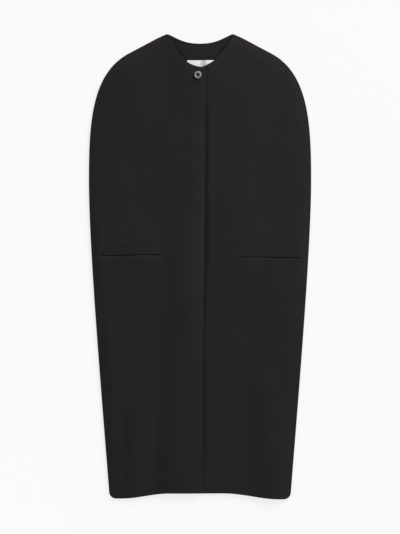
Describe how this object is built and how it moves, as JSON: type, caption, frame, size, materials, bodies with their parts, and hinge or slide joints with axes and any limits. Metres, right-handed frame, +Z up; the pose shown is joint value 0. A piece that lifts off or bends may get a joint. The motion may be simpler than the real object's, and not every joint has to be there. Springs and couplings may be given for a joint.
{
  "type": "cape",
  "caption": "Long collarless wool cape in a cocoon cut, lapped front with a concealed placket and a neck button, welted hand openings, laid flat.",
  "frame": {"origin": "on the surface it lies on, under the middle of its bounding box", "axes": "+Z up, out of the garment's front; +Y along its length towards the neck; +X towards the wearer's left"},
  "size_m": [0.5774, 1.2076, 0.0225],
  "materials": {
    "wool": "matte felted black wool",
    "lining": "pale satin",
    "button_metal": "satin grey metal",
    "button_face": "satin black"
  },
  "bodies": {
    "root": {"back": "wool", "front_right": "wool", "front_left": "wool", "welt_right": "wool", "welt_left": "wool", "back_neck_facing": "wool", "back_lining": "lining", "button_rim": "button_metal", "button_dish": "button_face"}
  },
  "joints": []
}
